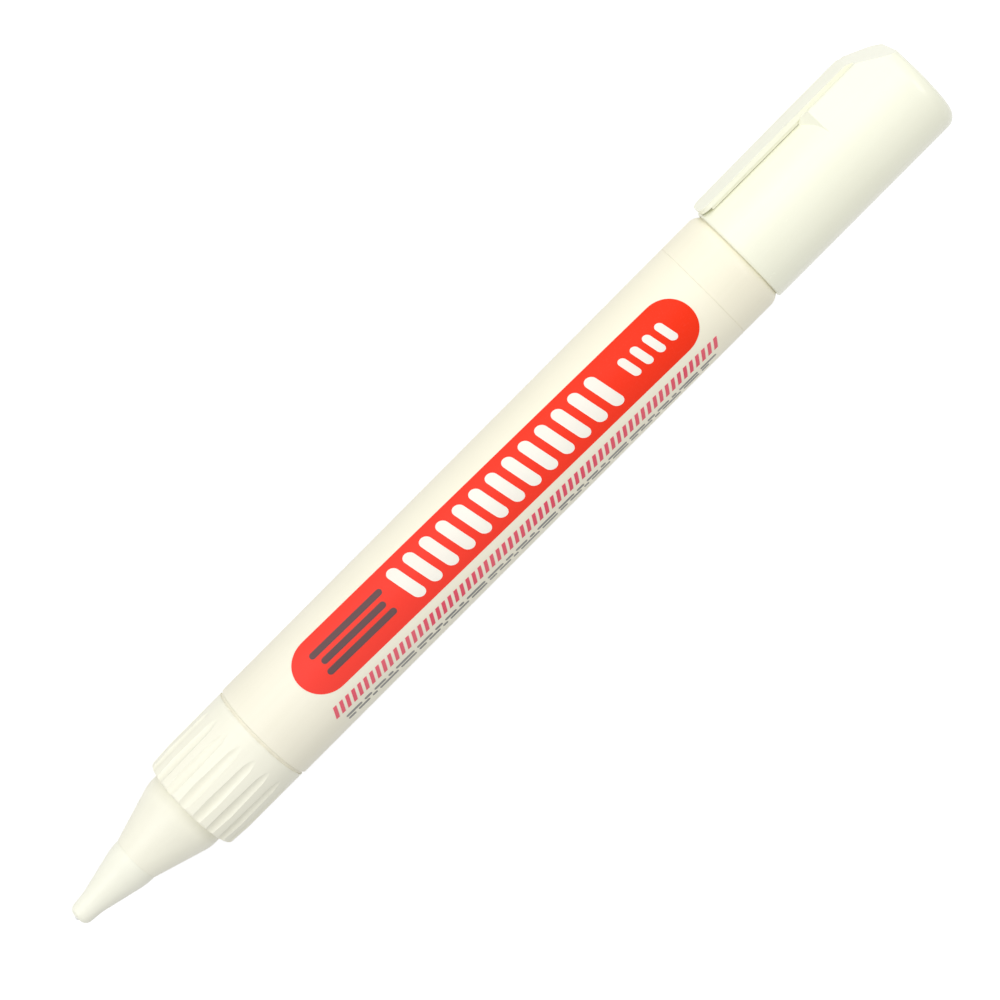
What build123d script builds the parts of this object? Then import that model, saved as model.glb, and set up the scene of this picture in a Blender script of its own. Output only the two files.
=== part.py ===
from build123d import *
import math
import os

# Valve-type correction pen, posted: the cap sits on the tail.
# The pen lies along X with its tip towards +X. The origin is the middle of the barrel, on the pen's axis.
# The pocket clip points to -Y. All sizes are in millimetres.

# Fits
FIXED_FIT = 0.02
THREAD_FIT = 0.05
RUNNING_FIT = 0.05
CAP_FIT = 0.05

# Barrel
BARREL_LENGTH = 75.0
BARREL_RADIUS = 7.0
BARREL_WALL = 0.9
SHOULDER_WALL = 1.4
NECK_WALL = 0.9
SEAM_CHAMFER = 0.15
SEAM_DEPTH = 0.25

# Collar that holds the nozzle on the barrel's neck
COLLAR_LENGTH = 12.1
COLLAR_INSET = 0.1
COLLAR_NOSE_DROP = 0.18
COLLAR_NOSE_LENGTH = 3.0
COLLAR_WALL = 0.95
COLLAR_LIP = 1.3
COLLAR_ROUND = 0.4
COLLAR_SEAM = 0.36
FLUTE_COUNT = 18
FLUTE_RADIUS = 0.9
FLUTE_DEPTH = 0.22
FLUTE_RUN_OUT = 1.6
PLAIN_BAND = 1.8

# Nozzle cone, with the land that the cap seats on
GASKET_THICKNESS = 0.6
FLANGE_THICKNESS = 1.2
FLANGE_STEP = 0.5
LAND_LENGTH = 2.0
CONE_LENGTH = 7.35
CONE_MOUTH_RADIUS = 3.2
CONE_ROUND = 5.0
CHAMBER_RADIUS = 3.6
CHAMBER_DEPTH = 4.0

# Bullet tip and its nose
TIP_LENGTH = 10.3
TIP_BASE_RADIUS = 3.13
TIP_BAND = 1.35
TIP_ROUND = 8.0
NOSE_LENGTH = 2.75
NOSE_RADIUS = 1.4
NOSE_ROOT_RADIUS = 1.68
NOSE_BLEND = 6.0
NOSE_ROUND = 0.92
NOSE_LIP = 0.6
SPIGOT_RADIUS = 2.4
SPIGOT_LENGTH = 6.8
TIP_BORE_RADIUS = 1.6
TIP_CHANNEL_RADIUS = 0.9

# Valve
NEEDLE_RADIUS = 0.35
NEEDLE_REACH = 0.3
NEEDLE_GRIP = 2.8
BUSH_LENGTH = 2.0
SEAT_SETBACK = 6.7
SEAT_THICKNESS = 1.2
SEAT_BORE_RADIUS = 0.75
SEAT_GAP = 0.06
CARRIER_RADIUS = 1.3
CARRIER_LENGTH = 3.0
CARRIER_NOSE_RADIUS = 0.5
STEM_RADIUS = 0.75
STEM_OVERRUN = 1.2
RETAINER_THICKNESS = 1.2
RETAINER_HOLES = 5
RETAINER_HOLE_RADIUS = 0.5
RETAINER_PITCH_RADIUS = 1.75
SPRING_RADIUS = 1.05
SPRING_WIRE_RADIUS = 0.13
SPRING_TURNS = 7
SPRING_END_GAP = 0.03

# Tail plug with a rounded shoulder, a seat for the cap's rim and the post that carries the cap
TAIL_BAND = 5.89
SHOULDER_LENGTH = 1.39
SHOULDER_DROP = 0.6
RIM_SEAT_REACH = 0.3
TAIL_SEAM_CHAMFER = 0.05
TAIL_SPIGOT_LENGTH = 5.5
POST_WALL = 1.25
POST_OVER_LAND = 0.05
POST_LENGTH = 8.06
POST_ROUND = 1.0
POST_END_WALL = 1.2

# Mixing ball, lying on the barrel's wall
BALL_RADIUS = 2.5
BALL_GAP = 0.15
BALL_STATION = -12.0

# Cap
CAP_GAP = 0.06
CAP_LENGTH = 30.05
CAP_WALL = 1.45
CAP_END_WALL = 2.4
CAP_END_ROUND = 1.7
CAP_RIM_ROUND = 0.3

# Seal cup inside the cap
SEAL_BASE = 1.5
SEAL_RADIUS = 3.6
SEAL_LENGTH = 14.1
SEAL_MOUTH_RADIUS = 2.45
SEAL_FLOOR_RADIUS = 1.65
SEAL_DEPTH = 6.2

# Pocket clip, moulded with the cap
CLIP_RISE = 0.8
CLIP_WIDTH = 5.0
CLIP_THICKNESS = 0.68
CLIP_END_RISE = 0.7
CLIP_END_THICKNESS = 0.58
CLIP_END_SETBACK = 0.2
CLIP_END_ROUND = 1.4
CLIP_RIB_WIDTH = 4.4
CLIP_GAP = 0.1

# Web that joins the clip to the cap, and the bevel across the end of both
WEB_RISE = 0.35
WEB_WIDTH = 7.0
WEB_LENGTH = 12.5
WEB_EDGE_ROUND = 0.22
WEB_FRONT_SLOPE = 0.8
BEVEL_LENGTH = 5.4
BEVEL_DROP = 2.9
BEVEL_ROUND = 1.5

# Stations along the pen's axis, from the tail's side to the tip
barrel_front = BARREL_LENGTH / 2
barrel_rear = -BARREL_LENGTH / 2
collar_rear = barrel_front + COLLAR_SEAM
collar_front = collar_rear + COLLAR_LENGTH
flange_front = collar_front - COLLAR_LIP
flange_rear = flange_front - FLANGE_THICKNESS
neck_mouth = flange_rear - GASKET_THICKNESS
land_front = collar_front + LAND_LENGTH
cone_front = land_front + CONE_LENGTH
chamber_front = flange_rear + CHAMBER_DEPTH
spigot_rear = cone_front - SPIGOT_LENGTH
tip_band_front = cone_front + TIP_BAND
tip_front = cone_front + TIP_LENGTH
nose_root = tip_front - NOSE_LENGTH
needle_front = tip_front + NEEDLE_REACH
bush_front = tip_front - NOSE_LIP
seat_front = tip_front - SEAT_SETBACK
seat_rear = seat_front - SEAT_THICKNESS
tail_rear = barrel_rear - TAIL_BAND
post_rear = tail_rear - POST_LENGTH
cap_rim = tail_rear - CAP_GAP
rim_seat_rear = cap_rim - RIM_SEAT_REACH
cap_rear = cap_rim - CAP_LENGTH
cap_floor = cap_rear + CAP_END_WALL

# Radii that follow from the walls and fits
barrel_bore = BARREL_RADIUS - BARREL_WALL
collar_radius = BARREL_RADIUS - COLLAR_INSET
collar_bore = collar_radius - COLLAR_WALL
neck_radius = collar_bore - THREAD_FIT
neck_bore = neck_radius - NECK_WALL
flange_radius = collar_bore - THREAD_FIT
land_radius = flange_radius - FLANGE_STEP
post_radius = land_radius + POST_OVER_LAND
rim_seat_radius = BARREL_RADIUS - SHOULDER_DROP
tail_bore = post_radius - POST_WALL
cap_bore = post_radius + CAP_FIT
cap_radius = cap_bore + CAP_WALL
clip_outer = cap_radius + CLIP_RISE
clip_end_outer = cap_radius + CLIP_END_RISE
web_outer = cap_radius + WEB_RISE
guide_radius = NEEDLE_RADIUS + RUNNING_FIT

# How closely an edge has to match a station and a radius to be picked
MATCH = 0.001


def rim(piece, station, radius):
    """The round edge of a turned piece at one station along the axis."""
    rounds = piece.edges().filter_by(GeomType.CIRCLE)
    return rounds.filter_by(
        lambda edge: abs(edge.arc_center.X - station) < MATCH and abs(edge.radius - radius) < MATCH
    )


os.makedirs("parts", exist_ok=True)

# Barrel: a tube, open at the tail, with a seat for the collar and a threaded neck (the thread is left plain)
seam_floor = BARREL_RADIUS - SEAM_DEPTH
with BuildPart() as barrel:
    with BuildSketch(Plane.XY):
        with BuildLine():
            Polyline(
                (barrel_rear, barrel_bore),
                (barrel_rear, BARREL_RADIUS),
                (barrel_front, BARREL_RADIUS),
                (barrel_front, seam_floor),
                (collar_rear, seam_floor),
                (collar_rear, neck_radius),
                (neck_mouth, neck_radius),
                (neck_mouth, neck_bore),
                (barrel_front - SHOULDER_WALL, neck_bore),
                (barrel_front - SHOULDER_WALL, barrel_bore),
                close=True,
            )
        make_face()
    revolve(axis=Axis.X)
    chamfer(rim(barrel, barrel_front, BARREL_RADIUS), SEAM_CHAMFER)
    chamfer(rim(barrel, barrel_rear, BARREL_RADIUS), TAIL_SEAM_CHAMFER)
barrel.part.label = "barrel"
export_step(barrel.part, "parts/barrel.step")

# Tail plug: spigot in the barrel, band with a rounded shoulder, seat for the cap's rim and hollow post
shoulder_start = (tail_rear + SHOULDER_LENGTH, BARREL_RADIUS)
shoulder_end = (tail_rear, rim_seat_radius)
with BuildPart() as tail_plug:
    with BuildSketch(Plane.XY):
        with BuildLine():
            TangentArc(shoulder_start, shoulder_end, tangent=(-1, 0))
            Polyline(
                shoulder_end,
                (rim_seat_rear, rim_seat_radius),
                (rim_seat_rear, post_radius),
                (post_rear, post_radius),
                (post_rear, 0),
                (post_rear + POST_END_WALL, 0),
                (post_rear + POST_END_WALL, tail_bore),
                (barrel_rear + TAIL_SPIGOT_LENGTH, tail_bore),
                (barrel_rear + TAIL_SPIGOT_LENGTH, barrel_bore - FIXED_FIT),
                (barrel_rear, barrel_bore - FIXED_FIT),
                (barrel_rear, BARREL_RADIUS),
                shoulder_start,
            )
        make_face()
    revolve(axis=Axis.X)
    chamfer(rim(tail_plug, barrel_rear, BARREL_RADIUS), TAIL_SEAM_CHAMFER)
    fillet(rim(tail_plug, post_rear, post_radius), POST_ROUND)
tail_plug.part.label = "tail_plug"
export_step(tail_plug.part, "parts/tail_plug.step")

# Mixing ball, loose in the barrel
with BuildPart() as mixing_ball:
    with Locations((BALL_STATION, 0, BALL_RADIUS + BALL_GAP - barrel_bore)):
        Sphere(BALL_RADIUS)
mixing_ball.part.label = "mixing_ball"
export_step(mixing_ball.part, "parts/mixing_ball.step")

# Collar: a nut with an inward lip at the front. Cones beside it cut the finger flutes, which run out
# at a plain band at the rear and follow the drop of the nose at the front
flute_floor_rear = collar_rear + PLAIN_BAND + FLUTE_RUN_OUT
with BuildPart() as nozzle_collar:
    with BuildSketch(Plane.XY):
        with BuildLine():
            Polyline(
                (collar_rear, collar_bore),
                (collar_rear, collar_radius),
                (collar_front - COLLAR_NOSE_LENGTH, collar_radius),
                (collar_front, collar_radius - COLLAR_NOSE_DROP),
                (collar_front, land_radius + FIXED_FIT),
                (flange_front, land_radius + FIXED_FIT),
                (flange_front, collar_bore),
                close=True,
            )
        make_face()
    revolve(axis=Axis.X)
    fillet(rim(nozzle_collar, collar_front, collar_radius - COLLAR_NOSE_DROP), COLLAR_ROUND)
    with Locations(Plane.YZ.offset(flute_floor_rear)):
        with PolarLocations(collar_radius + FLUTE_RADIUS - FLUTE_DEPTH, FLUTE_COUNT, 180 / FLUTE_COUNT):
            Cone(
                FLUTE_RADIUS,
                FLUTE_RADIUS + COLLAR_NOSE_DROP,
                collar_front - flute_floor_rear,
                align=(Align.CENTER, Align.CENTER, Align.MIN),
                mode=Mode.SUBTRACT,
            )
            Cone(
                FLUTE_RADIUS - 2 * FLUTE_DEPTH,
                FLUTE_RADIUS,
                2 * FLUTE_RUN_OUT,
                align=(Align.CENTER, Align.CENTER, Align.MAX),
                mode=Mode.SUBTRACT,
            )
nozzle_collar.part.label = "nozzle_collar"
export_step(nozzle_collar.part, "parts/nozzle_collar.step")

# Gasket: a flat ring between the neck's mouth and the nozzle's flange
with BuildPart() as nozzle_gasket:
    with BuildSketch(Plane.YZ.offset(neck_mouth)):
        Circle(flange_radius)
        Circle(neck_bore, mode=Mode.SUBTRACT)
    extrude(amount=GASKET_THICKNESS)
nozzle_gasket.part.label = "nozzle_gasket"
export_step(nozzle_gasket.part, "parts/nozzle_gasket.step")

# Nozzle cone: flange under the collar's lip, land for the cap, taper, and a bore stepped for retainer and tip
with BuildPart() as nozzle_cone:
    with BuildSketch(Plane.XY):
        with BuildLine():
            Polyline(
                (flange_rear, CHAMBER_RADIUS),
                (flange_rear, flange_radius),
                (flange_front, flange_radius),
                (flange_front, land_radius),
                (land_front, land_radius),
                (cone_front, CONE_MOUTH_RADIUS),
                (cone_front, SPIGOT_RADIUS + FIXED_FIT),
                (chamber_front, SPIGOT_RADIUS + FIXED_FIT),
                (chamber_front, CHAMBER_RADIUS),
                close=True,
            )
        make_face()
    revolve(axis=Axis.X)
    fillet(rim(nozzle_cone, land_front, land_radius), CONE_ROUND)
nozzle_cone.part.label = "nozzle_cone"
export_step(nozzle_cone.part, "parts/nozzle_cone.step")

# Bullet tip: a short straight band that eases into a taper, with a rounded nose and a spigot in the cone
with BuildPart() as tip_sleeve:
    with BuildSketch(Plane.XY):
        with BuildLine():
            Polyline(
                (tip_front, 0),
                (spigot_rear, 0),
                (spigot_rear, SPIGOT_RADIUS),
                (cone_front, SPIGOT_RADIUS),
                (cone_front, TIP_BASE_RADIUS),
                (tip_band_front, TIP_BASE_RADIUS),
                (nose_root, NOSE_ROOT_RADIUS),
                (tip_front, NOSE_RADIUS),
                close=True,
            )
        make_face()
    revolve(axis=Axis.X)
    fillet(rim(tip_sleeve, tip_band_front, TIP_BASE_RADIUS), TIP_ROUND)
    fillet(rim(tip_sleeve, nose_root, NOSE_ROOT_RADIUS), NOSE_BLEND)
    fillet(rim(tip_sleeve, tip_front, NOSE_RADIUS), NOSE_ROUND)
    with BuildSketch(Plane.XY):
        with BuildLine():
            Polyline(
                (spigot_rear, 0),
                (spigot_rear, TIP_BORE_RADIUS),
                (seat_front, TIP_BORE_RADIUS),
                (seat_front, TIP_CHANNEL_RADIUS),
                (bush_front, TIP_CHANNEL_RADIUS),
                (bush_front, guide_radius + RUNNING_FIT),
                (tip_front, guide_radius + RUNNING_FIT),
                (tip_front, 0),
                close=True,
            )
        make_face()
    revolve(axis=Axis.X, mode=Mode.SUBTRACT)
tip_sleeve.part.label = "tip_sleeve"
export_step(tip_sleeve.part, "parts/tip_sleeve.step")

# Needle guide in the nose
with BuildPart() as tip_bush:
    with BuildSketch(Plane.YZ.offset(bush_front - BUSH_LENGTH)):
        Circle(TIP_CHANNEL_RADIUS - FIXED_FIT)
        Circle(guide_radius, mode=Mode.SUBTRACT)
    extrude(amount=BUSH_LENGTH)
tip_bush.part.label = "tip_bush"
export_step(tip_bush.part, "parts/tip_bush.step")

# Rubber seat that the valve closes on
with BuildPart() as valve_seat:
    with BuildSketch(Plane.YZ.offset(seat_rear)):
        Circle(TIP_BORE_RADIUS - FIXED_FIT)
        Circle(SEAT_BORE_RADIUS, mode=Mode.SUBTRACT)
    extrude(amount=SEAT_THICKNESS)
valve_seat.part.label = "valve_seat"
export_step(valve_seat.part, "parts/valve_seat.step")

# Carrier: a plunger whose 45 degree nose closes on the seat's rear edge, with a stem through the spring
seal_radius = SEAT_BORE_RADIUS - SEAT_GAP
carrier_front = seat_rear + seal_radius - CARRIER_NOSE_RADIUS
carrier_shoulder = seat_rear + seal_radius - CARRIER_RADIUS
carrier_rear = carrier_shoulder - CARRIER_LENGTH
retainer_front = chamber_front
retainer_rear = retainer_front - RETAINER_THICKNESS
stem_rear = retainer_rear - STEM_OVERRUN
needle_rear = carrier_front - NEEDLE_GRIP
with BuildPart() as needle_carrier:
    with BuildSketch(Plane.XY):
        with BuildLine():
            Polyline(
                (stem_rear, 0),
                (stem_rear, STEM_RADIUS),
                (carrier_rear, STEM_RADIUS),
                (carrier_rear, CARRIER_RADIUS),
                (carrier_shoulder, CARRIER_RADIUS),
                (carrier_front, CARRIER_NOSE_RADIUS),
                (carrier_front, NEEDLE_RADIUS),
                (needle_rear, NEEDLE_RADIUS),
                (needle_rear, 0),
                close=True,
            )
        make_face()
    revolve(axis=Axis.X)
needle_carrier.part.label = "needle_carrier"
export_step(needle_carrier.part, "parts/needle_carrier.step")

# Needle with a round writing point
with BuildPart() as valve_needle:
    with BuildSketch(Plane.YZ.offset(needle_rear)):
        Circle(NEEDLE_RADIUS)
    extrude(amount=needle_front - NEEDLE_RADIUS - needle_rear)
    with Locations((needle_front - NEEDLE_RADIUS, 0, 0)):
        Sphere(NEEDLE_RADIUS)
valve_needle.part.label = "valve_needle"
export_step(valve_needle.part, "parts/valve_needle.step")

# Retainer: a holed disc in the cone's chamber that the spring stands on
with BuildPart() as spring_retainer:
    with BuildSketch(Plane.YZ.offset(retainer_rear)):
        Circle(CHAMBER_RADIUS - FIXED_FIT)
        Circle(STEM_RADIUS + RUNNING_FIT, mode=Mode.SUBTRACT)
        with PolarLocations(RETAINER_PITCH_RADIUS, RETAINER_HOLES):
            Circle(RETAINER_HOLE_RADIUS, mode=Mode.SUBTRACT)
    extrude(amount=RETAINER_THICKNESS)
spring_retainer.part.label = "spring_retainer"
export_step(spring_retainer.part, "parts/spring_retainer.step")

# Spring between the retainer and the carrier
spring_rear = retainer_front + SPRING_WIRE_RADIUS + SPRING_END_GAP
spring_height = carrier_rear - SPRING_WIRE_RADIUS - SPRING_END_GAP - spring_rear
with BuildPart() as valve_spring:
    with BuildLine():
        coil = Helix(
            spring_height / SPRING_TURNS,
            spring_height,
            SPRING_RADIUS,
            center=(spring_rear, 0, 0),
            direction=(1, 0, 0),
        )
    with BuildSketch(Plane(coil @ 0, z_dir=coil % 0)):
        Circle(SPRING_WIRE_RADIUS)
    sweep(path=coil, is_frenet=True)
valve_spring.part.label = "valve_spring"
export_step(valve_spring.part, "parts/valve_spring.step")

# Clip web: flat flanks that are tangent to the cap's wall, and slope down to it at the front
web_front = cap_rear + WEB_LENGTH
web_reach = math.hypot(web_outer, WEB_WIDTH / 2)
flank_length = math.sqrt(web_reach**2 - cap_radius**2)
flank_depth = cap_radius - math.sqrt(cap_radius**2 - flank_length**2)
flank_turn = math.atan2(WEB_WIDTH / 2, web_outer) + math.acos(cap_radius / web_reach)
slope_front = web_front + flank_depth / WEB_FRONT_SLOPE
with BuildPart() as clip_web:
    with BuildSketch(Plane.YZ.offset(cap_rear)):
        Circle(cap_radius)
        with Locations((-web_outer / 2, 0)):
            Rectangle(web_outer, WEB_WIDTH)
        make_hull()
    extrude(amount=slope_front - cap_rear)
    fillet(clip_web.edges().filter_by(Axis.X).group_by(Axis.Y)[0], WEB_EDGE_ROUND)
    for side in (1, -1):
        flank_normal = Vector(0, -math.cos(flank_turn), side * math.sin(flank_turn))
        flank_run = Vector(1, 0, 0).cross(flank_normal)
        with BuildSketch(Plane((0, 0, 0), x_dir=(1, 0, 0), z_dir=flank_run)):
            with BuildLine():
                Polyline(
                    (web_front, cap_radius),
                    (slope_front, cap_radius - flank_depth),
                    (slope_front, clip_outer),
                    (web_front, clip_outer),
                    close=True,
                )
            make_face()
        extrude(amount=web_reach, both=True, mode=Mode.SUBTRACT)

# Clip arm: from the bevel towards the cap's rim, thinning, with a rib below it that follows the cap
bevel_front = cap_rear + BEVEL_LENGTH
arm_rear = bevel_front - BEVEL_LENGTH * CLIP_THICKNESS / BEVEL_DROP
clip_end = cap_rim - CLIP_END_SETBACK
rib_front = clip_end - CLIP_END_ROUND
rib_foot = math.sqrt(cap_radius**2 - (CLIP_RIB_WIDTH / 2) ** 2)
with BuildPart() as clip_arm:
    with BuildSketch(Plane.XY):
        with BuildLine():
            Polyline(
                (bevel_front, -clip_outer),
                (web_front, -clip_outer),
                (clip_end, -clip_end_outer),
                (clip_end, CLIP_END_THICKNESS - clip_end_outer),
                (web_front, CLIP_THICKNESS - clip_outer),
                (arm_rear, CLIP_THICKNESS - clip_outer),
                close=True,
            )
        make_face()
    extrude(amount=CLIP_WIDTH / 2, both=True)
    fillet(clip_arm.edges().filter_by(Axis.Y).group_by(Axis.X)[-1], CLIP_END_ROUND)
    fillet(clip_arm.edges().filter_by(Axis.Z).group_by(Axis.Y)[0].sort_by(Axis.X)[0], BEVEL_ROUND)
    with BuildSketch(Plane.XY):
        with BuildLine():
            Polyline(
                (web_front, -clip_outer + CLIP_THICKNESS / 2),
                (rib_front, -clip_end_outer + CLIP_END_THICKNESS / 2),
                (rib_front, -rib_foot),
                (web_front, -rib_foot),
                close=True,
            )
        make_face()
    extrude(amount=CLIP_RIB_WIDTH / 2, both=True)
    with BuildSketch(Plane.YZ.offset(web_front)):
        Circle(cap_radius + CLIP_GAP)
    extrude(amount=clip_end - web_front, mode=Mode.SUBTRACT)

# Cap: a blind tube with the web and the arm, rounded at its end and bored for the post and the nozzle's land
with BuildPart() as cap:
    with BuildSketch(Plane.YZ.offset(cap_rear)):
        Circle(cap_radius)
    extrude(amount=CAP_LENGTH)
    fillet(rim(cap, cap_rim, cap_radius), CAP_RIM_ROUND)
    add(clip_web.part)
    with BuildSketch(Plane.XY):
        with BuildLine():
            Polyline(
                (bevel_front, -clip_outer),
                (cap_rear, BEVEL_DROP - clip_outer),
                (cap_rear, -clip_outer),
                close=True,
            )
        make_face()
    extrude(amount=cap_radius, both=True, mode=Mode.SUBTRACT)
    end_edges = cap.edges().filter_by_position(Axis.X, cap_rear - MATCH, cap_rear + MATCH)
    fillet(end_edges - end_edges.filter_by(Axis.Z), CAP_END_ROUND)
    add(clip_arm.part)
    with BuildSketch(Plane.YZ.offset(cap_floor)):
        Circle(cap_bore)
    extrude(amount=cap_rim - cap_floor, mode=Mode.SUBTRACT)
    with BuildSketch(Plane.YZ.offset(cap_rim)):
        Circle(rim_seat_radius + CAP_FIT)
    extrude(amount=-RIM_SEAT_REACH - CAP_GAP, mode=Mode.SUBTRACT)
cap.part.label = "cap"
export_step(cap.part, "parts/cap.step")

# Seal cup: a base on the cap's floor and a tube with a tapered bore for the bullet tip
seal_mouth = cap_floor + SEAL_LENGTH
with BuildPart() as cap_seal:
    with BuildSketch(Plane.XY):
        with BuildLine():
            Polyline(
                (cap_floor, 0),
                (cap_floor, cap_bore - FIXED_FIT),
                (cap_floor + SEAL_BASE, cap_bore - FIXED_FIT),
                (cap_floor + SEAL_BASE, SEAL_RADIUS),
                (seal_mouth, SEAL_RADIUS),
                (seal_mouth, SEAL_MOUTH_RADIUS),
                (seal_mouth - SEAL_DEPTH, SEAL_FLOOR_RADIUS),
                (seal_mouth - SEAL_DEPTH, 0),
                close=True,
            )
        make_face()
    revolve(axis=Axis.X)
cap_seal.part.label = "cap_seal"
export_step(cap_seal.part, "parts/cap_seal.step")
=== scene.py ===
# %% [markdown]
# # Dressing a correction pen
#
# A valve-type correction pen lies on a white table with its cap pushed onto the tail. All of its solid
# pieces come ready made from the imported model, at their real size and in their real place. What is left
# for Blender is how the pen looks: the satin and gloss of its white plastics, the ink printed round its
# barrel, the steel and rubber inside its valve, the light, and the camera. We load the model first and
# keep its outer box.

# %% Load the imported pen
import itertools
import math

import bmesh
import bpy
from mathutils import Matrix, Vector


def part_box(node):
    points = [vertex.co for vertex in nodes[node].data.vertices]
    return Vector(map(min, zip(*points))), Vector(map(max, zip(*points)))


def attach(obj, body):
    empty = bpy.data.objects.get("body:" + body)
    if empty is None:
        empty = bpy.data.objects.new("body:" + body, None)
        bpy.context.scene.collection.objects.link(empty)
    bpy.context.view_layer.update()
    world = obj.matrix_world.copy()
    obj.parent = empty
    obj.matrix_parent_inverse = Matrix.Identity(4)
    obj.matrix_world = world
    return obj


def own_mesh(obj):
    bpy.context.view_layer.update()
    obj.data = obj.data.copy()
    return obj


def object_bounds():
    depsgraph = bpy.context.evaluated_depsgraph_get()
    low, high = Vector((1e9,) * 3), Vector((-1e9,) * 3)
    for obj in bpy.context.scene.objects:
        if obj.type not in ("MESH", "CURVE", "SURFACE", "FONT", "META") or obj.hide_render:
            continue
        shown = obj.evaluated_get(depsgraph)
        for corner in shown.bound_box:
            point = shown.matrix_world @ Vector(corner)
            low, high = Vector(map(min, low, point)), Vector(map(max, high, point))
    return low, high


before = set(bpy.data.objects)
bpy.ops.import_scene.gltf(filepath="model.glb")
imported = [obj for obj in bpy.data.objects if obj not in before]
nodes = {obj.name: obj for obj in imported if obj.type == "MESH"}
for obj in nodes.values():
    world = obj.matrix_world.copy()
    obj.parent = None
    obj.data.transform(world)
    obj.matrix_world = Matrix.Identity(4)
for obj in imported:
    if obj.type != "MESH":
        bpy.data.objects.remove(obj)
cad_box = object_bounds()
MM = 0.001
print("pieces:", len(nodes), "box in mm:", [[round(v / MM, 2) for v in corner] for corner in cad_box])

# %% [markdown]
# ## Where things are on the pen
#
# The pen lies along X, with its tip towards +X and the pocket clip towards -Y. The places of the seams
# and the radii are read from the model's own pieces, so the looks stay where the pieces are. The barrel's
# box ends at its neck, inside the collar, so the seam that shows is taken from the collar's rear end. In
# the same way the tail plug's front end is hidden in the barrel, and the seam there is found from the
# barrel's own rear end.

# %% Read the sizes of the main pieces
barrel_low, barrel_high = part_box("barrel")
collar_low, collar_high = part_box("nozzle_collar")
barrel_radius = barrel_high.z
collar_radius = collar_high.z
tail_seam = barrel_low.x
collar_seam = collar_low.x
collar_front = collar_high.x
cone_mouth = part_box("nozzle_cone")[1].x
tip_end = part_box("tip_sleeve")[1].x
table_height = cad_box[0].z
print("barrel radius", round(barrel_radius / MM, 3), "mm, table at z", round(table_height / MM, 3), "mm")

# %% [markdown]
# ## The camera
#
# The pen is seen from above, a little from the clip's side, so the clip's arm shows along the upper left
# edge, and a little from the tail, which bows the round seams. A long lens from nearly half a metre keeps
# the barrel's two edges almost parallel. The camera is rolled until the pen runs from the lower left
# corner to the upper right one. We build the camera's three axes by hand, because a rolled camera is
# easier to state as axes than as angles: one axis points back from the pen to the lens, and the pen's
# direction, as the picture shows it, is turned by the roll.

# %% Place the camera
VIEW_ELEVATION = math.radians(75.0)
VIEW_LEAN = math.radians(3.3)
VIEW_ROLL = math.radians(45.08)
VIEW_DISTANCE = 460 * MM
PICTURE_WIDTH_AT_PEN = 120.2 * MM
AIM_ALONG = -2.53 * MM
AIM_ACROSS = 0.52 * MM

across_tilt = math.cos(VIEW_LEAN) * Vector((0, -math.cos(VIEW_ELEVATION), math.sin(VIEW_ELEVATION)))
to_camera = across_tilt - math.sin(VIEW_LEAN) * Vector((1, 0, 0))
along_pen = Vector((1, 0, 0)) - to_camera.x * to_camera
along_pen.normalize()
across_pen = to_camera.cross(along_pen)
picture_right = -math.cos(VIEW_ROLL) * along_pen + math.sin(VIEW_ROLL) * across_pen
picture_up = -math.sin(VIEW_ROLL) * along_pen - math.cos(VIEW_ROLL) * across_pen

camera_data = bpy.data.cameras.new("camera")
camera_data.sensor_width = 36.0
camera_data.lens = camera_data.sensor_width / PICTURE_WIDTH_AT_PEN * VIEW_DISTANCE
camera_data.clip_start = 10 * MM
camera_data.clip_end = 20.0
camera = bpy.data.objects.new("camera", camera_data)
aim = Vector((AIM_ALONG, 0, 0)) + AIM_ACROSS * across_pen
turn = Matrix((picture_right, picture_up, to_camera)).transposed().to_4x4()
camera.matrix_world = Matrix.Translation(aim + VIEW_DISTANCE * to_camera) @ turn
bpy.context.scene.collection.objects.link(camera)
bpy.context.scene.camera = camera
print("lens", round(camera_data.lens, 1), "mm")

# %% [markdown]
# ## Light, table and background
#
# White plastic on white is all about soft light. A bright room with no corners would light every side
# alike, so more than half of the light comes from the world. Four soft boxes shape the pen: a wide one
# over its clip side, which leaves the far side greyer, a low one on the same side for the clip's upright
# face and the bevel across the cap's end, one behind the tail, whose mirror image is the bright streak
# near the cap's end, and a small one ahead of the tip, for the nozzle's slopes that face away from the
# others.
#
# The table has to look white to the camera and still carry the pen's shadow. Its colour is a plain pale
# grey for the light that it throws on the pen. For camera, glossy and transmission rays a glow is
# added, so that the lit table reaches white and the shadow stays. Seen from below the table is clear.

# %% Helpers for node trees
def add_node(tree, kind, inputs=None, **settings):
    """Add a node, set its properties, and set or link the inputs named in a dict."""
    node = tree.nodes.new(kind)
    for name, value in settings.items():
        setattr(node, name, value)
    for name, value in (inputs or {}).items():
        if isinstance(value, bpy.types.NodeSocket):
            tree.links.new(value, node.inputs[name])
        else:
            node.inputs[name].default_value = value
    return node


def math_node(tree, operation, first, second=0.0, third=0.0, clamp=False):
    """One step of arithmetic on numbers or sockets. Returns the result's socket."""
    inputs = {0: first, 1: second, 2: third}
    return add_node(tree, "ShaderNodeMath", inputs, operation=operation, use_clamp=clamp).outputs[0]


def is_seen_ray(tree):
    """1 for camera, glossy and transmission rays, and 0 for the rays that carry light."""
    rays = add_node(tree, "ShaderNodeLightPath").outputs
    camera_or_glossy = math_node(tree, "MAXIMUM", rays["Is Camera Ray"], rays["Is Glossy Ray"])
    return math_node(tree, "MAXIMUM", camera_or_glossy, rays["Is Transmission Ray"])


# %% World
ROOM_LIGHT = 0.64
SEEN_WHITE = 1.0

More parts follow.
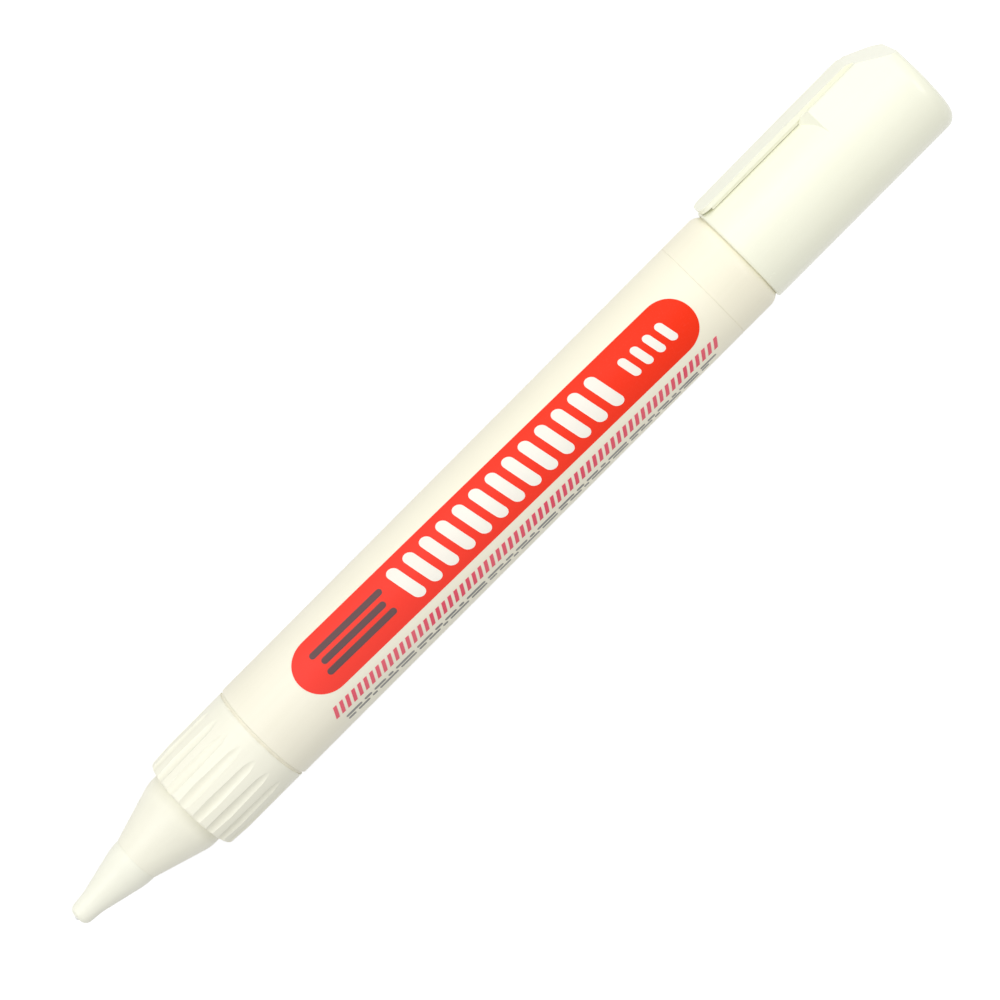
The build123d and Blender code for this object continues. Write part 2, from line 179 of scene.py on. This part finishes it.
bpy.context.scene.view_settings.view_transform = "Standard"
world = bpy.data.worlds.new("white_room")
world.use_nodes = True
bpy.context.scene.world = world
room = world.node_tree
room.nodes.clear()
levels = {0: is_seen_ray(room), 2: ROOM_LIGHT, 3: SEEN_WHITE}
strength = add_node(room, "ShaderNodeMix", levels, data_type="FLOAT").outputs[0]
background = add_node(room, "ShaderNodeBackground", {"Color": (1, 1, 1, 1), "Strength": strength})
add_node(room, "ShaderNodeOutputWorld", {"Surface": background.outputs[0]})
print("room light", ROOM_LIGHT)

# %% Table
TABLE_SIZE = 30.0
TABLE_GREY = 0.42
TABLE_GLOW = 0.74

table_paint = bpy.data.materials.new("table_white")
table_paint.use_nodes = True
tree = table_paint.node_tree
tree.nodes.clear()
matt = add_node(tree, "ShaderNodeBsdfDiffuse", {"Color": (TABLE_GREY, TABLE_GREY, TABLE_GREY, 1)})
glow_level = math_node(tree, "MULTIPLY", is_seen_ray(tree), TABLE_GLOW)
glow = add_node(tree, "ShaderNodeEmission", {"Strength": glow_level})
lit = add_node(tree, "ShaderNodeAddShader", {0: matt.outputs[0], 1: glow.outputs[0]})
clear = add_node(tree, "ShaderNodeBsdfTransparent")
side = add_node(tree, "ShaderNodeNewGeometry").outputs["Backfacing"]
top_only = add_node(tree, "ShaderNodeMixShader", {0: side, 1: lit.outputs[0], 2: clear.outputs[0]})
add_node(tree, "ShaderNodeOutputMaterial", {"Surface": top_only.outputs[0]})

bm = bmesh.new()
bmesh.ops.create_grid(bm, x_segments=1, y_segments=1, size=TABLE_SIZE / 2)
bmesh.ops.translate(bm, verts=bm.verts, vec=(0, 0, table_height))
table_mesh = bpy.data.meshes.new("table")
bm.to_mesh(table_mesh)
bm.free()
table_mesh.materials.append(table_paint)
table = bpy.data.objects.new("table", table_mesh)
bpy.context.scene.collection.objects.link(table)
print("table", TABLE_SIZE, "m wide")


# %% Soft boxes
def from_pen(along, across, towards_camera):
    """A point given along the pen, across it in the picture, and towards the camera."""
    return along * along_pen + across * across_pen + towards_camera * to_camera


def soft_box(name, place, aim_along, width, height, brightness):
    """A lamp whose face has the given brightness, turned towards a point on the pen's axis."""
    lamp = bpy.data.lights.new(name, "AREA")
    lamp.shape = "RECTANGLE"
    lamp.size = width
    lamp.size_y = height
    lamp.energy = brightness * math.pi * width * height
    box = bpy.data.objects.new(name, lamp)
    box.location = place
    box.rotation_mode = "QUATERNION"
    box.rotation_quaternion = (from_pen(aim_along, 0, 0) - place).to_track_quat("-Z", "Y")
    bpy.context.scene.collection.objects.link(box)
    print(name, round(lamp.energy, 3), "W")


soft_box(
    "clip_side_box", from_pen(0.02, -0.31, 0.55), aim_along=0.0, width=0.64, height=0.54, brightness=1.27
)
soft_box(
    "clip_low_box", from_pen(-0.20, -0.236, 0.125), aim_along=-0.06, width=0.20, height=0.10, brightness=2.8
)
soft_box(
    "tail_box", from_pen(-0.20, 0.10, 0.30), aim_along=-0.05, width=0.18, height=0.14, brightness=2.5
)
soft_box(
    "tip_box", from_pen(0.21, -0.065, 0.10), aim_along=0.06, width=0.10, height=0.08, brightness=2.8
)

# %% [markdown]
# ## Effects that several plastics share
#
# Moulded plastic is never one flat colour. Four small effects turn up on nearly every piece of this pen,
# so each is built once as a shader node group:
#
# - moulded grain: the fine skin that the mould leaves, and broad clouds where the melt cooled unevenly;
# - flow lines: faint streaks along the pen, the way the plastic ran into the mould;
# - handling marks: hairline scratches and smudges from pockets and fingers, which change the gloss more
#   than the colour;
# - seam dust: grime that settles in the joint between two pieces and fades out beside it.
#
# All of them read Object coordinates. Every piece sits at the origin, so these are metres in the pen's
# own frame. A noise texture gives values round a half, so each effect stretches the range that it uses to
# run from 0 to 1.

# %% Helpers for the groups
def open_group(name, inputs, outputs):
    """A new shader node group with number sockets. Returns its tree, its inputs and its output node."""
    group = bpy.data.node_groups.new(name, "ShaderNodeTree")
    for socket, default in inputs.items():
        made = group.interface.new_socket(socket, in_out="INPUT", socket_type="NodeSocketFloat")
        made.default_value = default
    for socket in outputs:
        group.interface.new_socket(socket, in_out="OUTPUT", socket_type="NodeSocketFloat")
    source = add_node(group, "NodeGroupInput")
    sink = add_node(group, "NodeGroupOutput")
    return group, source.outputs, sink


def pen_position(tree):
    """The socket of the place on the pen, in metres."""
    return add_node(tree, "ShaderNodeTexCoord").outputs["Object"]


def pen_station(tree):
    """The socket of the place along the pen, in metres."""
    return add_node(tree, "ShaderNodeSeparateXYZ", {0: pen_position(tree)}).outputs["X"]


def noise(tree, place, scale, detail=2.0):
    """The value of a noise texture at a place. A larger scale gives smaller spots."""
    inputs = {"Vector": place, "Scale": scale, "Detail": detail}
    return add_node(tree, "ShaderNodeTexNoise", inputs).outputs[0]


def ramp(tree, value, low, high, smooth=True):
    """0 at low and 1 at high, with a smooth or a straight rise between and no change outside."""
    kind = "SMOOTHSTEP" if smooth else "LINEAR"
    inputs = {0: value, 1: low, 2: high, 3: 0.0, 4: 1.0}
    return add_node(tree, "ShaderNodeMapRange", inputs, interpolation_type=kind).outputs[0]


# %% Moulded grain
CLOUDS_PER_METRE = 110.0
CLOUD_RANGE = (0.3, 0.7)

grain_group, knob, out = open_group("moulded_grain", {"Grains per Metre": 4000.0}, ["Grain", "Cloud"])
place = pen_position(grain_group)
fine_grain = noise(grain_group, place, knob["Grains per Metre"], detail=3.0)
cloud = ramp(grain_group, noise(grain_group, place, CLOUDS_PER_METRE, detail=1.0), *CLOUD_RANGE)
grain_group.links.new(fine_grain, out.inputs["Grain"])
grain_group.links.new(cloud, out.inputs["Cloud"])

# %% Flow lines
STREAK_STRETCH = 0.03
STREAK_RANGE = (0.35, 0.65)

flow_group, knob, out = open_group("flow_lines", {"Lines per Metre": 1400.0}, ["Lines"])
drawn_inputs = {"Vector": pen_position(flow_group), "Scale": (STREAK_STRETCH, 1, 1)}
drawn_out = add_node(flow_group, "ShaderNodeMapping", drawn_inputs).outputs[0]
streak = noise(flow_group, drawn_out, knob["Lines per Metre"])
flow_group.links.new(ramp(flow_group, streak, *STREAK_RANGE), out.inputs["Lines"])

# %% Handling marks
SCRATCH_TILT = 0.3
SCRATCH_LEANS = ((0.5, 0.05), (-0.35, 0.04))  # each a lean in radians and a stretch along the scratch
SCRATCHES_PER_METRE = 4200.0
SCRATCH_RANGE = (0.70, 0.78)
WORN_PATCHES_PER_METRE = 60.0
WORN_RANGE = (0.5, 0.75)
SMUDGES_PER_METRE = 150.0
SMUDGE_RANGE = (0.3, 0.75)

mark_group, knob, out = open_group("handling_marks", {"Amount": 0.5}, ["Scratch", "Smudge"])
place = pen_position(mark_group)
worn_patch = noise(mark_group, place, WORN_PATCHES_PER_METRE)
scratch = 0.0
for lean, stretch in SCRATCH_LEANS:
    lean_inputs = {"Vector": place, "Rotation": (SCRATCH_TILT, lean, lean)}
    leaning = add_node(mark_group, "ShaderNodeMapping", lean_inputs).outputs[0]
    comb_inputs = {"Vector": leaning, "Scale": (stretch, 1, 1)}
    combed = add_node(mark_group, "ShaderNodeMapping", comb_inputs).outputs[0]
    hair = ramp(mark_group, noise(mark_group, combed, SCRATCHES_PER_METRE, detail=1.0), *SCRATCH_RANGE)
    scratch = math_node(mark_group, "MAXIMUM", hair, scratch)
scratch = math_node(mark_group, "MULTIPLY", scratch, ramp(mark_group, worn_patch, *WORN_RANGE))
smudge = ramp(mark_group, noise(mark_group, place, SMUDGES_PER_METRE), *SMUDGE_RANGE)
for name, mark in (("Scratch", scratch), ("Smudge", smudge)):
    scaled = math_node(mark_group, "MULTIPLY", mark, knob["Amount"])
    mark_group.links.new(scaled, out.inputs[name])

# %% Seam dust
DUST_SPOTS_PER_METRE = 900.0
DUST_RANGE = (0.25, 0.75)
DUST_FADE = 2.0

dust_group, knob, out = open_group("seam_dust", {"Station": 0.0, "Reach": 1 * MM}, ["Dust"])
offset = math_node(dust_group, "SUBTRACT", pen_station(dust_group), knob["Station"])
reaches_away = math_node(dust_group, "DIVIDE", math_node(dust_group, "ABSOLUTE", offset), knob["Reach"])
nearness = math_node(dust_group, "SUBTRACT", 1.0, reaches_away, clamp=True)
spots = noise(dust_group, pen_position(dust_group), DUST_SPOTS_PER_METRE, detail=3.0)
settled = ramp(dust_group, spots, *DUST_RANGE)
dust = math_node(dust_group, "MULTIPLY", math_node(dust_group, "POWER", nearness, DUST_FADE), settled)
dust_group.links.new(dust, out.inputs["Dust"])
print("effect groups:", [group.name for group in bpy.data.node_groups])

# %% [markdown]
# ## The white plastics
#
# The barrel, the cap, the collar and the nozzle are all warm white, but not the same white: the cap is
# the brightest and glossiest, the barrel is satin and a little yellow, and the nozzle pieces lie between.
# One function builds them all from a handful of numbers. Its colour goes from a shaded tone to a bright
# tone with the clouds and the flow lines, then towards a tone of the piece's own, and towards grime in
# the seams. Roughness gets the smudges and scratches, and the grain goes to a bump. The barrel's own tone
# turns brighter and yellower towards the tail than near the nozzle.

# %% Helpers that use the groups
def new_material(name):
    """An empty node material with a Principled shader. Returns the material, its tree and the shader."""
    paint = bpy.data.materials.new(name)
    paint.use_nodes = True
    tree = paint.node_tree
    tree.nodes.clear()
    shader = add_node(tree, "ShaderNodeBsdfPrincipled")
    add_node(tree, "ShaderNodeOutputMaterial", {"Surface": shader.outputs[0]})
    return paint, tree, shader


def effect(tree, group, **values):
    """Put a shared effect into a material, with its knobs set by name. Underscores stand for spaces."""
    node = add_node(tree, "ShaderNodeGroup", node_tree=group)
    for name, value in values.items():
        node.inputs[name.replace("_", " ")].default_value = value
    return node.outputs


def mix_colour(tree, share, first, second):
    """A colour between two, each given as a socket or as red, green and blue."""
    first = first if isinstance(first, bpy.types.NodeSocket) else (*first, 1)
    second = second if isinstance(second, bpy.types.NodeSocket) else (*second, 1)
    return add_node(tree, "ShaderNodeMix", {0: share, 6: first, 7: second}, data_type="RGBA").outputs[2]


def bump(tree, height, depth, share=0.5):
    """A bumped normal from a height of 0 to 1 that stands for a depth in metres."""
    inputs = {"Height": height, "Distance": depth, "Strength": share}
    return add_node(tree, "ShaderNodeBump", inputs).outputs[0]


def dress(tree, shader, colour, roughness, normal):
    """Link a colour, a roughness and a normal to a material's shader."""
    tree.links.new(colour, shader.inputs["Base Color"])
    tree.links.new(roughness, shader.inputs["Roughness"])
    tree.links.new(normal, shader.inputs["Normal"])


def give(material, *names):
    """Put a material on CAD nodes."""
    for name in names:
        nodes[name].material_slots[0].material = material
    print(material.name, "on", ", ".join(names))


# %% The white plastic
GRIME = (0.36, 0.34, 0.27)
GRIME_SHARE = 0.2
FLOW_LINES_PER_METRE = 1400.0
FLOW_SHARE = 0.35
CLOUD_SHARE = 0.65
SMUDGE_DULLS = 0.10
SCRATCH_DULLS = 0.15
SCRATCH_CUTS = 0.4
SKIN_DEPTH = 0.006 * MM


def white_plastic(name, bright, shaded, roughness, grains, marks, seams=(), tone=None):
    """Moulded white plastic. A seam is a station and a reach of dust, and a tone is a mask and a colour."""
    paint, tree, shader = new_material(name)
    skin = effect(tree, grain_group, Grains_per_Metre=grains)
    flow = effect(tree, flow_group, Lines_per_Metre=FLOW_LINES_PER_METRE)
    worn = effect(tree, mark_group, Amount=marks)
    clouds = math_node(tree, "MULTIPLY", skin["Cloud"], CLOUD_SHARE)
    unevenness = math_node(tree, "MULTIPLY_ADD", flow["Lines"], FLOW_SHARE, clouds)
    colour = mix_colour(tree, unevenness, shaded, bright)
    if tone is not None:
        mask, tone_colour = tone
        colour = mix_colour(tree, mask(tree), colour, tone_colour)
    for station, reach in seams:
        dust = effect(tree, dust_group, Station=station, Reach=reach)["Dust"]
        colour = mix_colour(tree, math_node(tree, "MULTIPLY", dust, GRIME_SHARE), colour, GRIME)
    dull = math_node(tree, "MULTIPLY_ADD", worn["Smudge"], SMUDGE_DULLS, roughness)
    dull = math_node(tree, "MULTIPLY_ADD", worn["Scratch"], SCRATCH_DULLS, dull)
    height = math_node(tree, "MULTIPLY_ADD", worn["Scratch"], -SCRATCH_CUTS, skin["Grain"])
    dress(tree, shader, colour, dull, bump(tree, height, SKIN_DEPTH))
    return paint


def towards_tail(tree):
    """0 at the collar's seam and 1 at the tail's seam."""
    return ramp(tree, pen_station(tree), collar_seam, tail_seam, smooth=False)


# %% Barrel, tail, cap, nozzle and tip
barrel_white = white_plastic(
    "barrel_satin_white", bright=(0.896, 0.863, 0.720), shaded=(0.872, 0.838, 0.691),
    roughness=0.42, grains=3200.0, marks=0.5,
    seams=((collar_seam, 0.5 * MM), (tail_seam, 0.15 * MM)), tone=(towards_tail, (0.925, 0.884, 0.712)),
)
tail_white = white_plastic(
    "tail_satin_white", bright=(0.928, 0.887, 0.715), shaded=(0.908, 0.866, 0.690),
    roughness=0.40, grains=3600.0, marks=0.5,
    seams=((tail_seam, 0.15 * MM),),
)
cap_white = white_plastic(
    "cap_gloss_white", bright=(0.918, 0.920, 0.758), shaded=(0.906, 0.907, 0.741),
    roughness=0.25, grains=2400.0, marks=0.2,
)
cone_white = white_plastic(
    "nozzle_satin_white", bright=(0.905, 0.888, 0.752), shaded=(0.880, 0.863, 0.725),
    roughness=0.38, grains=4200.0, marks=0.4,
    seams=((collar_front, 0.4 * MM),),
)
tip_white = white_plastic(
    "tip_satin_white", bright=(0.900, 0.897, 0.775), shaded=(0.878, 0.873, 0.746),
    roughness=0.36, grains=4800.0, marks=0.3,
    seams=((cone_mouth, 0.15 * MM), (tip_end, 0.35 * MM)),
)
give(barrel_white, "barrel")
give(tail_white, "tail_plug")
give(cap_white, "cap")
give(cone_white, "nozzle_cone")
give(tip_white, "tip_sleeve")

# %% [markdown]
# ## The collar's flutes
#
# The flutes between the collar's ribs are painted darker than the crests, as painted shade in these
# recesses together with a little grime. How deep a point lies is its distance from the pen's axis, so a
# tone that follows the radius darkens the flutes and leaves the crests alone.

# %% The fluted collar
SHADE_STARTS_BELOW_CREST = 0.18 * MM
SHADE_FULL_BELOW_CREST = 0.40 * MM


def flute_shade(tree):
    """0 on a crest, rising to 1 with the depth below it."""
    split = add_node(tree, "ShaderNodeSeparateXYZ", {0: pen_position(tree)}).outputs
    flat_place = add_node(tree, "ShaderNodeCombineXYZ", {"Y": split["Y"], "Z": split["Z"]}).outputs[0]
    radius = add_node(tree, "ShaderNodeVectorMath", {0: flat_place}, operation="LENGTH").outputs["Value"]
    below_crest = math_node(tree, "SUBTRACT", collar_radius, radius)
    return ramp(tree, below_crest, SHADE_STARTS_BELOW_CREST, SHADE_FULL_BELOW_CREST)


collar_white = white_plastic(
    "collar_satin_white", bright=(0.905, 0.890, 0.755), shaded=(0.882, 0.866, 0.728),
    roughness=0.40, grains=3600.0, marks=0.6,
    seams=((collar_seam, 0.5 * MM),), tone=(flute_shade, (0.860, 0.842, 0.700)),
)
give(collar_white, "nozzle_collar")

# %% [markdown]
# ## Inside the pen
#
# Nobody sees the valve until the pen is taken apart, but the model can be opened, so its pieces are
# finished too. The cap's seal, the needle's carrier and the spring's retainer are a soft, slightly waxy
# plastic. The gasket and the valve's seat are black rubber with a bloom of fine dust. The ball, the
# needle, its guide and the spring are steel: the ball is rolled smooth with faint pitting, and the others
# carry the marks of drawing and turning.

# %% Soft plastic of the seal and the valve's carrier
WAX_ROUGHNESS = 0.5
WAX_SMUDGE_DULLS = 0.12
WAX_SKIN_DEPTH = 0.008 * MM


def waxy_plastic(name, bright, shaded):
    """Soft, slightly waxy plastic with cloudy thickness."""
    paint, tree, shader = new_material(name)
    skin = effect(tree, grain_group, Grains_per_Metre=6000.0)
    worn = effect(tree, mark_group, Amount=0.4)
    colour = mix_colour(tree, skin["Cloud"], shaded, bright)
    dull = math_node(tree, "MULTIPLY_ADD", worn["Smudge"], WAX_SMUDGE_DULLS, WAX_ROUGHNESS)
    dress(tree, shader, colour, dull, bump(tree, skin["Grain"], WAX_SKIN_DEPTH))
    return paint


seal_white = waxy_plastic("seal_waxy_white", bright=(0.80, 0.81, 0.80), shaded=(0.73, 0.745, 0.74))
retainer_grey = waxy_plastic("retainer_waxy_grey", bright=(0.66, 0.67, 0.68), shaded=(0.58, 0.59, 0.60))
give(seal_white, "cap_seal", "needle_carrier")
give(retainer_grey, "spring_retainer")

# %% Rubber of the gasket and the seat
RUBBER_BLACK = (0.018, 0.018, 0.019)
RUBBER_BLOOM = (0.12, 0.12, 0.115)
BLOOM_RANGE = (0.45, 0.8)
BLOOM_SHARE = 0.35
RUBBER_ROUGHNESS = 0.66
CLOUD_DULLS = 0.12
PEBBLE_DEPTH = 0.015 * MM
PEBBLE_SHARE = 0.6


def black_rubber(name):
    """Matt black rubber with a pale bloom and a pebbled skin."""
    paint, tree, shader = new_material(name)
    skin = effect(tree, grain_group, Grains_per_Metre=5200.0)
    bloom = math_node(tree, "MULTIPLY", ramp(tree, skin["Grain"], *BLOOM_RANGE), BLOOM_SHARE)
    colour = mix_colour(tree, bloom, RUBBER_BLACK, RUBBER_BLOOM)
    dull = math_node(tree, "MULTIPLY_ADD", skin["Cloud"], CLOUD_DULLS, RUBBER_ROUGHNESS)
    dress(tree, shader, colour, dull, bump(tree, skin["Grain"], PEBBLE_DEPTH, PEBBLE_SHARE))
    return paint


give(black_rubber("seal_rubber"), "nozzle_gasket", "valve_seat")

# %% Steel of the valve and the ball
PIT_RANGE = (0.66, 0.78)
DRAWN_SHADE = 0.82
DRAWN_DULLS = 0.12
DRAWN_HEIGHT = 0.4
STEEL_DEPTH = 0.005 * MM
STEEL_SHARE = 0.6


def bright_steel(name, tint, roughness, lines, pits):
    """Bright steel with drawing lines along the pen and fine pits."""
    paint, tree, shader = new_material(name)
    drawn = effect(tree, flow_group, Lines_per_Metre=lines)["Lines"]
    grain = effect(tree, grain_group, Grains_per_Metre=7000.0)["Grain"]
    pit = ramp(tree, grain, *PIT_RANGE)
    darker = tuple(DRAWN_SHADE * part for part in tint)
    lined = mix_colour(tree, drawn, darker, tint)
    colour = mix_colour(tree, math_node(tree, "MULTIPLY", pit, pits), lined, darker)
    dull = math_node(tree, "MULTIPLY_ADD", drawn, DRAWN_DULLS, roughness)
    ridges = math_node(tree, "MULTIPLY", drawn, DRAWN_HEIGHT)
    height = math_node(tree, "MULTIPLY_ADD", pit, -pits, ridges)
    dress(tree, shader, colour, dull, bump(tree, height, STEEL_DEPTH, STEEL_SHARE))
    shader.inputs["Metallic"].default_value = 1.0
    return paint


needle_steel = bright_steel("needle_steel", (0.70, 0.70, 0.71), roughness=0.22, lines=9000.0, pits=0.2)
spring_steel = bright_steel("spring_steel", (0.62, 0.62, 0.63), roughness=0.26, lines=6000.0, pits=0.3)
ball_steel = bright_steel("ball_steel", (0.68, 0.68, 0.69), roughness=0.14, lines=500.0, pits=0.6)
give(needle_steel, "valve_needle", "tip_bush")
give(spring_steel, "valve_spring")
give(ball_steel, "mixing_ball")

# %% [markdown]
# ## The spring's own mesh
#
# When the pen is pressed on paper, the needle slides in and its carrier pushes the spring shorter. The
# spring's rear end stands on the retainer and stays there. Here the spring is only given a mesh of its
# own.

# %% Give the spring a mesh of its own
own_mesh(nodes["valve_spring"])

# %% [markdown]
# ## The printed panel
#
# The barrel is printed with a red panel with round ends and, below it, a pink row and a fine grey one. On
# the real barrel the ink is a thin skin that stands a few hundredths of a millimetre proud, and it was
# rolled on slightly askew. We make it the same way, as films: a flat grid is shaped to its outline,
# thickened, and rolled onto the barrel, with its inner face sunk into the wall so that no light gets
# under it. A painted texture would blur at the edges when it is exported, while a film keeps its sharp
# outline at any distance.
#
# What is printed here is plain ornament: a few dark lines near the tip, then a row of bold white strokes
# that ends in a few small ones. The rows below are a band of slanted bars and two fine dashed rules.

# %% Where the print lies on the barrel
PRINT_CENTRE = -2.67 * MM
PRINT_TURN = math.radians(-16.5)
PRINT_SKEW = math.radians(1.15)
FILM_DEPTH = 0.08 * MM
PANEL_RISE = 0.03 * MM
MOTIF_RISE = 0.045 * MM
MERGE_DISTANCE = 0.002 * MM
SLIVER_LENGTH = 0.001 * MM
SHARP_EDGE = math.radians(40)


def roll_on(bm, rise):
    """Roll a flat film (along the pen, around it, height) onto the barrel, with its top proud by a rise."""
    for vert in bm.verts:
        along, around, height = vert.co
        turn = PRINT_TURN + (around - math.tan(PRINT_SKEW) * along) / barrel_radius
        radius = barrel_radius + rise + height
        vert.co = (PRINT_CENTRE + along, radius * math.sin(turn), radius * math.cos(turn))


def add_flat_film(bm, outline, columns, rows):
    """Add a flat film to a bmesh. The outline turns two numbers from -1 to 1 into a place on the film."""
    grid = bmesh.ops.create_grid(bm, x_segments=columns, y_segments=rows, size=1.0)
    for vert in grid["verts"]:
        along, around = outline(vert.co.x, vert.co.y)
        vert.co = (along, around, 0)


def finish_film(name, bm, rise, ink):
    """Thicken flat films, roll them onto the barrel and make them one piece that rides on the pen."""
    bmesh.ops.remove_doubles(bm, verts=bm.verts, dist=MERGE_DISTANCE)
    bmesh.ops.dissolve_degenerate(bm, edges=bm.edges, dist=SLIVER_LENGTH)
    bmesh.ops.solidify(bm, geom=bm.faces[:], thickness=FILM_DEPTH)
    top = max(vert.co.z for vert in bm.verts)
    bmesh.ops.translate(bm, verts=bm.verts, vec=(0, 0, -top))
    roll_on(bm, rise)
    bmesh.ops.recalc_face_normals(bm, faces=bm.faces)
    for face in bm.faces:
        face.smooth = True
    mesh = bpy.data.meshes.new(name)
    bm.to_mesh(mesh)
    bm.free()
    mesh.set_sharp_from_angle(angle=SHARP_EDGE)
    mesh.materials.append(ink)
    film = bpy.data.objects.new(name, mesh)
    bpy.context.scene.collection.objects.link(film)
    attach(film, "pen")
    print(name, len(mesh.polygons), "faces")


# %% [markdown]
# ## Printing inks
#
# Rolled-on ink is not quite even: it is a little thinner in places, with pinholes at the scale of the
# barrel's grain, so the plastic below shows through as a faint paler speckle. The red panel is also
# painted paler and pinker towards the tip than towards the tail, as a painted glare.

# %% Inks
INK_ROUGHNESS = 0.36
INK_GLOSS = 0.12
INK_SMUDGE_DULLS = 0.1
INK_CLOUD_SHARE = 0.5
PINHOLE_RANGE = (0.5, 0.85)
PINHOLE_SHARE = 0.35
INK_SKIN_DEPTH = 0.004 * MM


def printing_ink(name, colour, thin_colour, tip_glare_colour=None):
    """Ink with thin spots. A tip glare colour, if given, takes over towards the tip as a painted glare."""
    paint, tree, shader = new_material(name)
    skin = effect(tree, grain_group, Grains_per_Metre=5200.0)
    worn = effect(tree, mark_group, Amount=0.5)
    if tip_glare_colour is None:
        thinner = math_node(tree, "MULTIPLY", skin["Cloud"], INK_CLOUD_SHARE)
        body = mix_colour(tree, thinner, colour, thin_colour)
    else:
        towards_tip = ramp(tree, pen_station(tree), tail_seam, collar_seam, smooth=False)
        body = mix_colour(tree, towards_tip, colour, tip_glare_colour)
    pinholes = math_node(tree, "MULTIPLY", ramp(tree, skin["Grain"], *PINHOLE_RANGE), PINHOLE_SHARE)
    speckled = mix_colour(tree, pinholes, body, thin_colour)
    dull = math_node(tree, "MULTIPLY_ADD", worn["Smudge"], INK_SMUDGE_DULLS, INK_ROUGHNESS)
    dress(tree, shader, speckled, dull, bump(tree, skin["Grain"], INK_SKIN_DEPTH))
    shader.inputs["Specular IOR Level"].default_value = INK_GLOSS
    return paint


# The red panel's colour turns paler and pinker towards the tip: a painted glare.
red_ink = printing_ink(
    "ink_red", (0.91, 0.032, 0.004), (0.91, 0.070, 0.044), tip_glare_colour=(0.91, 0.062, 0.047)
)
white_ink = printing_ink("ink_white", (0.905, 0.885, 0.805), (0.905, 0.82, 0.73))
dark_ink = printing_ink("ink_dark_grey", (0.118, 0.075, 0.078), (0.16, 0.085, 0.085))
pink_ink = printing_ink("ink_pink_red", (0.80, 0.085, 0.145), (0.85, 0.20, 0.24))
grey_ink = printing_ink("ink_grey", (0.24, 0.24, 0.235), (0.38, 0.375, 0.35))

# %% Red panel with round ends
PANEL_HALF_LENGTH = 32.25 * MM
PANEL_HALF_WIDTH = 3.73 * MM


def round_ended(centre_along, centre_around, half_length, half_width):
    """The outline of a bar with round ends. Columns crowd towards the ends, where the outline bends."""
    def outline(u, v):
        reach = half_length * math.sin(u * math.pi / 2)
        past_straight = max(0.0, abs(reach) - (half_length - half_width))
        width = math.sqrt(max(0.0, half_width**2 - past_straight**2))
        return centre_along + reach, centre_around + width * v
    return outline


bm = bmesh.new()
panel_outline = round_ended(0, 0, PANEL_HALF_LENGTH, PANEL_HALF_WIDTH)
add_flat_film(bm, panel_outline, columns=120, rows=14)
finish_film("print_panel", bm, PANEL_RISE, red_ink)

# %% Dark lines near the tip's end of the panel
LINES_CENTRE = 23.2 * MM
LINE_HALF_LENGTHS = (5.9 * MM, 5.2 * MM, 5.6 * MM)
LINE_HALF_HEIGHT = 0.42 * MM
LINE_PITCH = 1.42 * MM

bm = bmesh.new()
for row, half_length in enumerate(LINE_HALF_LENGTHS):
    around = (row - 1) * LINE_PITCH
    line_outline = round_ended(LINES_CENTRE, around, half_length, LINE_HALF_HEIGHT)
    add_flat_film(bm, line_outline, columns=32, rows=4)
finish_film("print_lines", bm, MOTIF_RISE, dark_ink)

# %% White strokes along the rest of the panel
STROKE_SLANT = 0.2
STROKE_ROWS = (
    # first centre, pitch, number, half height, half width
    (14.6 * MM, 2.72 * MM, 13, 2.6 * MM, 0.8 * MM),
    (-22.2 * MM, 2.0 * MM, 4, 1.5 * MM, 0.55 * MM),
)


def slanted_stroke(centre_along, half_height, half_width):
    """The outline of an upright stroke with round ends that leans towards the tip."""
    upright = round_ended(0, 0, half_height, half_width)

    def outline(u, v):
        around, aside = upright(v, u)
        return centre_along + aside - STROKE_SLANT * around, around
    return outline


bm = bmesh.new()
for first_centre, pitch, number, half_height, half_width in STROKE_ROWS:
    for step in range(number):
        stroke_outline = slanted_stroke(first_centre - step * pitch, half_height, half_width)
        add_flat_film(bm, stroke_outline, columns=6, rows=28)
finish_film("print_strokes", bm, MOTIF_RISE, white_ink)

# %% Pink row of slanted bars
ROW_START = 31.6 * MM
ROW_END = -31.8 * MM
ROW_AROUND = 5.85 * MM
BAR_HALF_HEIGHT = 0.85 * MM
BAR_HALF_THICKNESS = 0.27 * MM
BAR_SLANT = 0.45
BAR_PITCH = 1.0 * MM


def slanted_bar(centre_along):
    """The outline of one short bar that leans towards the tip."""
    def outline(u, v):
        around = BAR_HALF_HEIGHT * v
        return centre_along + BAR_HALF_THICKNESS * u + BAR_SLANT * around, ROW_AROUND + around
    return outline


bm = bmesh.new()
bar_count = int((ROW_START - ROW_END) / BAR_PITCH) + 1
for number in range(bar_count):
    add_flat_film(bm, slanted_bar(ROW_START - number * BAR_PITCH), columns=1, rows=4)
finish_film("print_bars", bm, PANEL_RISE, pink_ink)

# %% Grey dashed rules
RULE_START = 31.3 * MM
RULE_END = -30.6 * MM
RULE_HALF_HEIGHT = 0.19 * MM
RULE_GAP = 0.45 * MM
RULE_DASHES = (2.6 * MM, 1.2 * MM, 1.9 * MM, 0.8 * MM, 3.1 * MM)
RULE_AROUND = (7.75 * MM, 8.45 * MM)

bm = bmesh.new()
for row, around in enumerate(RULE_AROUND):
    dash_end = RULE_START
    for length in itertools.islice(itertools.cycle(RULE_DASHES), row, None):
        if dash_end - length < RULE_END:
            break
        dash_outline = round_ended(dash_end - length / 2, around, length / 2, RULE_HALF_HEIGHT)
        add_flat_film(bm, dash_outline, columns=8, rows=2)
        dash_end -= length + RULE_GAP
finish_film("print_rules", bm, PANEL_RISE, grey_ink)
